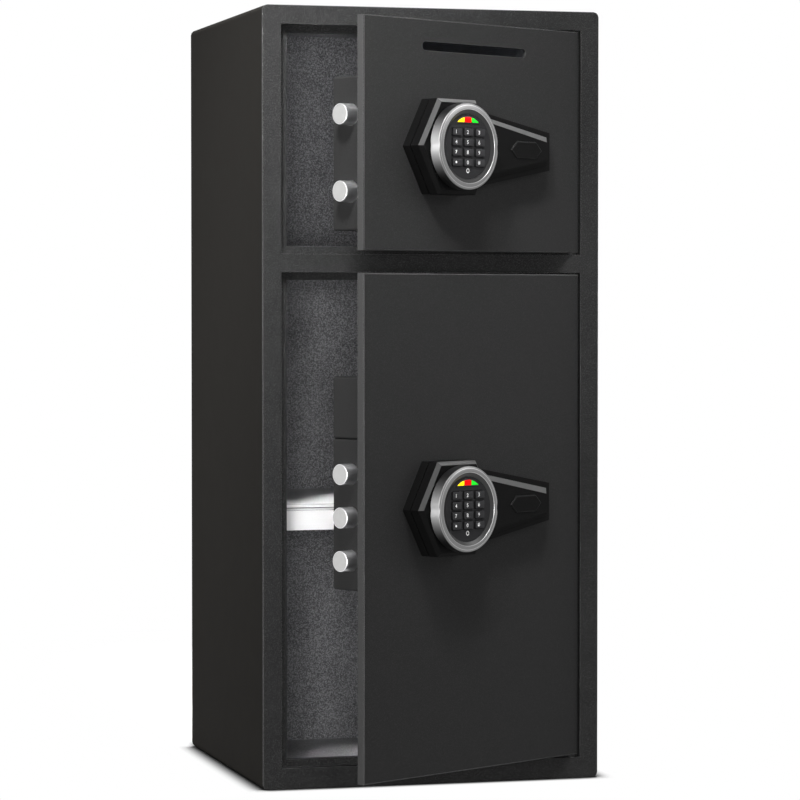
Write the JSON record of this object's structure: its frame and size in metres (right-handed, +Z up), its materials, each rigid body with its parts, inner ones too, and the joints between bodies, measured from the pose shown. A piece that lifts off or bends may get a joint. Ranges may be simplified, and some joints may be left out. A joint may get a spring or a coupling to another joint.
{
  "type": "drop safe",
  "caption": "Tall steel drop safe with an upper deposit door and a lower door, each with a keypad knob and sliding bolts.",
  "frame": {"origin": "middle of the underside", "axes": "+X to the right seen from the front, +Y to the back, +Z up"},
  "size_m": [0.45, 0.6307, 1],
  "materials": {
    "cabinet_coat": "fine textured powder coat",
    "door_coat": "fine textured powder coat",
    "felt": "short grey felt",
    "shelf_coat": "light grey satin coat",
    "zinc_plate": "bright zinc plate",
    "bolt_chrome": "polished chrome",
    "satin_chrome": "satin chrome",
    "housing_black": "moulded satin black",
    "keypad_black": "matt black",
    "key_black": "soft black key",
    "light_window": "tinted clear window",
    "brass": "plain turned"
  },
  "bodies": {
    "cabinet": {"cabinet_shell": "cabinet_coat", "front_frame": "cabinet_coat", "back_panel": "cabinet_coat", "divider_panel": "cabinet_coat", "upper_lining": "felt", "lower_lining": "felt"},
    "shelf": {"shelf": "shelf_coat"},
    "upper_door": {"upper_door_panel": "door_coat", "upper_lock_cover": "cabinet_coat", "upper_lock_housing": "housing_black", "upper_solenoid": "zinc_plate", "upper_deposit_chute": "zinc_plate"},
    "upper_knob": {"upper_knob": "satin_chrome", "upper_keypad_plate": "keypad_black", "upper_status_window": "light_window", "upper_spindle": "zinc_plate"},
    "upper_bolts": {"upper_bolt_bar": "zinc_plate", "upper_bolt_1": "bolt_chrome", "upper_bolt_2": "bolt_chrome"},
    "upper_key_cover": {"upper_key_cover": "housing_black"},
    "upper_key_cylinder": {"upper_key_cylinder": "brass"},
    "upper_key_1": {"upper_key_1": "key_black"},
    "upper_key_2": {"upper_key_2": "key_black"},
    "upper_key_3": {"upper_key_3": "key_black"},
    "upper_key_4": {"upper_key_4": "key_black"},
    "upper_key_5": {"upper_key_5": "key_black"},
    "upper_key_6": {"upper_key_6": "key_black"},
    "upper_key_7": {"upper_key_7": "key_black"},
    "upper_key_8": {"upper_key_8": "key_black"},
    "upper_key_9": {"upper_key_9": "key_black"},
    "upper_key_star": {"upper_key_star": "key_black"},
    "upper_key_0": {"upper_key_0": "key_black"},
    "upper_key_hash": {"upper_key_hash": "key_black"},
    "lower_door": {"lower_door_panel": "door_coat", "lower_lock_cover": "cabinet_coat", "lower_lock_housing": "housing_black", "lower_solenoid": "zinc_plate", "lower_battery_box": "cabinet_coat"},
    "lower_knob": {"lower_knob": "satin_chrome", "lower_keypad_plate": "keypad_black", "lower_status_window": "light_window", "lower_spindle": "zinc_plate"},
    "lower_bolts": {"lower_bolt_bar": "zinc_plate", "lower_bolt_1": "bolt_chrome", "lower_bolt_2": "bolt_chrome", "lower_bolt_3": "bolt_chrome"},
    "lower_key_cover": {"lower_key_cover": "housing_black"},
    "lower_key_cylinder": {"lower_key_cylinder": "brass"},
    "lower_key_1": {"lower_key_1": "key_black"},
    "lower_key_2": {"lower_key_2": "key_black"},
    "lower_key_3": {"lower_key_3": "key_black"},
    "lower_key_4": {"lower_key_4": "key_black"},
    "lower_key_5": {"lower_key_5": "key_black"},
    "lower_key_6": {"lower_key_6": "key_black"},
    "lower_key_7": {"lower_key_7": "key_black"},
    "lower_key_8": {"lower_key_8": "key_black"},
    "lower_key_9": {"lower_key_9": "key_black"},
    "lower_key_star": {"lower_key_star": "key_black"},
    "lower_key_0": {"lower_key_0": "key_black"},
    "lower_key_hash": {"lower_key_hash": "key_black"}
  },
  "joints": [
    {"name": "shelf_lift", "type": "slide", "parent": "cabinet", "child": "shelf", "axis": [0, 0, 1], "range_m": [0, 0.04]},
    {"name": "upper_door_hinge", "type": "hinge", "parent": "cabinet", "child": "upper_door", "pos_m": [0.19101, -0.212, 0.83], "axis": [0, 0, 1], "range_deg": [-30, 70]},
    {"name": "upper_knob_turn", "type": "hinge", "parent": "upper_door", "child": "upper_knob", "pos_m": [-0.0095, -0.37372, 0.8155], "axis": [-0.5, 0.866, 0], "range_deg": [0, 90]},
    {"name": "upper_bolt_slide", "type": "slide", "parent": "upper_door", "child": "upper_bolts", "axis": [0.866, 0.5, 0], "range_m": [0, 0.019]},
    {"name": "upper_key_cover_pull", "type": "slide", "parent": "upper_door", "child": "upper_key_cover", "axis": [0.5, -0.866, 0], "range_m": [0, 0.012]},
    {"name": "upper_key_cylinder_turn", "type": "hinge", "parent": "upper_door", "child": "upper_key_cylinder", "pos_m": [0.09761, -0.29826, 0.8155], "axis": [-0.5, 0.866, 0], "range_deg": [0, 90]},
    {"name": "upper_key_1_press", "type": "slide", "parent": "upper_knob", "child": "upper_key_1", "axis": [-0.5, 0.866, 0], "range_m": [0, 0.0012], "stiffness_N_per_m": 500, "springref_m": -0.0006},
    {"name": "upper_key_2_press", "type": "slide", "parent": "upper_knob", "child": "upper_key_2", "axis": [-0.5, 0.866, 0], "range_m": [0, 0.0012], "stiffness_N_per_m": 500, "springref_m": -0.0006},
    {"name": "upper_key_3_press", "type": "slide", "parent": "upper_knob", "child": "upper_key_3", "axis": [-0.5, 0.866, 0], "range_m": [0, 0.0012], "stiffness_N_per_m": 500, "springref_m": -0.0006},
    {"name": "upper_key_4_press", "type": "slide", "parent": "upper_knob", "child": "upper_key_4", "axis": [-0.5, 0.866, 0], "range_m": [0, 0.0012], "stiffness_N_per_m": 500, "springref_m": -0.0006},
    {"name": "upper_key_5_press", "type": "slide", "parent": "upper_knob", "child": "upper_key_5", "axis": [-0.5, 0.866, 0], "range_m": [0, 0.0012], "stiffness_N_per_m": 500, "springref_m": -0.0006},
    {"name": "upper_key_6_press", "type": "slide", "parent": "upper_knob", "child": "upper_key_6", "axis": [-0.5, 0.866, 0], "range_m": [0, 0.0012], "stiffness_N_per_m": 500, "springref_m": -0.0006},
    {"name": "upper_key_7_press", "type": "slide", "parent": "upper_knob", "child": "upper_key_7", "axis": [-0.5, 0.866, 0], "range_m": [0, 0.0012], "stiffness_N_per_m": 500, "springref_m": -0.0006},
    {"name": "upper_key_8_press", "type": "slide", "parent": "upper_knob", "child": "upper_key_8", "axis": [-0.5, 0.866, 0], "range_m": [0, 0.0012], "stiffness_N_per_m": 500, "springref_m": -0.0006},
    {"name": "upper_key_9_press", "type": "slide", "parent": "upper_knob", "child": "upper_key_9", "axis": [-0.5, 0.866, 0], "range_m": [0, 0.0012], "stiffness_N_per_m": 500, "springref_m": -0.0006},
    {"name": "upper_key_star_press", "type": "slide", "parent": "upper_knob", "child": "upper_key_star", "axis": [-0.5, 0.866, 0], "range_m": [0, 0.0012], "stiffness_N_per_m": 500, "springref_m": -0.0006},
    {"name": "upper_key_0_press", "type": "slide", "parent": "upper_knob", "child": "upper_key_0", "axis": [-0.5, 0.866, 0], "range_m": [0, 0.0012], "stiffness_N_per_m": 500, "springref_m": -0.0006},
    {"name": "upper_key_hash_press", "type": "slide", "parent": "upper_knob", "child": "upper_key_hash", "axis": [-0.5, 0.866, 0], "range_m": [0, 0.0012], "stiffness_N_per_m": 500, "springref_m": -0.0006},
    {"name": "lower_door_hinge", "type": "hinge", "parent": "cabinet", "child": "lower_door", "pos_m": [0.19101, -0.212, 0.344], "axis": [0, 0, 1], "range_deg": [-30, 70]},
    {"name": "lower_knob_turn", "type": "hinge", "parent": "lower_door", "child": "lower_knob", "pos_m": [-0.0095, -0.37372, 0.366], "axis": [-0.5, 0.866, 0], "range_deg": [0, 90]},
    {"name": "lower_bolt_slide", "type": "slide", "parent": "lower_door", "child": "lower_bolts", "axis": [0.866, 0.5, 0], "range_m": [0, 0.019]},
    {"name": "lower_key_cover_pull", "type": "slide", "parent": "lower_door", "child": "lower_key_cover", "axis": [0.5, -0.866, 0], "range_m": [0, 0.012]},
    {"name": "lower_key_cylinder_turn", "type": "hinge", "parent": "lower_door", "child": "lower_key_cylinder", "pos_m": [0.09761, -0.29826, 0.366], "axis": [-0.5, 0.866, 0], "range_deg": [0, 90]},
    {"name": "lower_key_1_press", "type": "slide", "parent": "lower_knob", "child": "lower_key_1", "axis": [-0.5, 0.866, 0], "range_m": [0, 0.0012], "stiffness_N_per_m": 500, "springref_m": -0.0006},
    {"name": "lower_key_2_press", "type": "slide", "parent": "lower_knob", "child": "lower_key_2", "axis": [-0.5, 0.866, 0], "range_m": [0, 0.0012], "stiffness_N_per_m": 500, "springref_m": -0.0006},
    {"name": "lower_key_3_press", "type": "slide", "parent": "lower_knob", "child": "lower_key_3", "axis": [-0.5, 0.866, 0], "range_m": [0, 0.0012], "stiffness_N_per_m": 500, "springref_m": -0.0006},
    {"name": "lower_key_4_press", "type": "slide", "parent": "lower_knob", "child": "lower_key_4", "axis": [-0.5, 0.866, 0], "range_m": [0, 0.0012], "stiffness_N_per_m": 500, "springref_m": -0.0006},
    {"name": "lower_key_5_press", "type": "slide", "parent": "lower_knob", "child": "lower_key_5", "axis": [-0.5, 0.866, 0], "range_m": [0, 0.0012], "stiffness_N_per_m": 500, "springref_m": -0.0006},
    {"name": "lower_key_6_press", "type": "slide", "parent": "lower_knob", "child": "lower_key_6", "axis": [-0.5, 0.866, 0], "range_m": [0, 0.0012], "stiffness_N_per_m": 500, "springref_m": -0.0006},
    {"name": "lower_key_7_press", "type": "slide", "parent": "lower_knob", "child": "lower_key_7", "axis": [-0.5, 0.866, 0], "range_m": [0, 0.0012], "stiffness_N_per_m": 500, "springref_m": -0.0006},
    {"name": "lower_key_8_press", "type": "slide", "parent": "lower_knob", "child": "lower_key_8", "axis": [-0.5, 0.866, 0], "range_m": [0, 0.0012], "stiffness_N_per_m": 500, "springref_m": -0.0006},
    {"name": "lower_key_9_press", "type": "slide", "parent": "lower_knob", "child": "lower_key_9", "axis": [-0.5, 0.866, 0], "range_m": [0, 0.0012], "stiffness_N_per_m": 500, "springref_m": -0.0006},
    {"name": "lower_key_star_press", "type": "slide", "parent": "lower_knob", "child": "lower_key_star", "axis": [-0.5, 0.866, 0], "range_m": [0, 0.0012], "stiffness_N_per_m": 500, "springref_m": -0.0006},
    {"name": "lower_key_0_press", "type": "slide", "parent": "lower_knob", "child": "lower_key_0", "axis": [-0.5, 0.866, 0], "range_m": [0, 0.0012], "stiffness_N_per_m": 500, "springref_m": -0.0006},
    {"name": "lower_key_hash_press", "type": "slide", "parent": "lower_knob", "child": "lower_key_hash", "axis": [-0.5, 0.866, 0], "range_m": [0, 0.0012], "stiffness_N_per_m": 500, "springref_m": -0.0006}
  ],
  "couplings": [
    {"joint": "upper_bolt_slide", "follows": "upper_knob_turn", "m_per_rad": 0.01209},
    {"joint": "lower_bolt_slide", "follows": "lower_knob_turn", "m_per_rad": 0.01209}
  ]
}
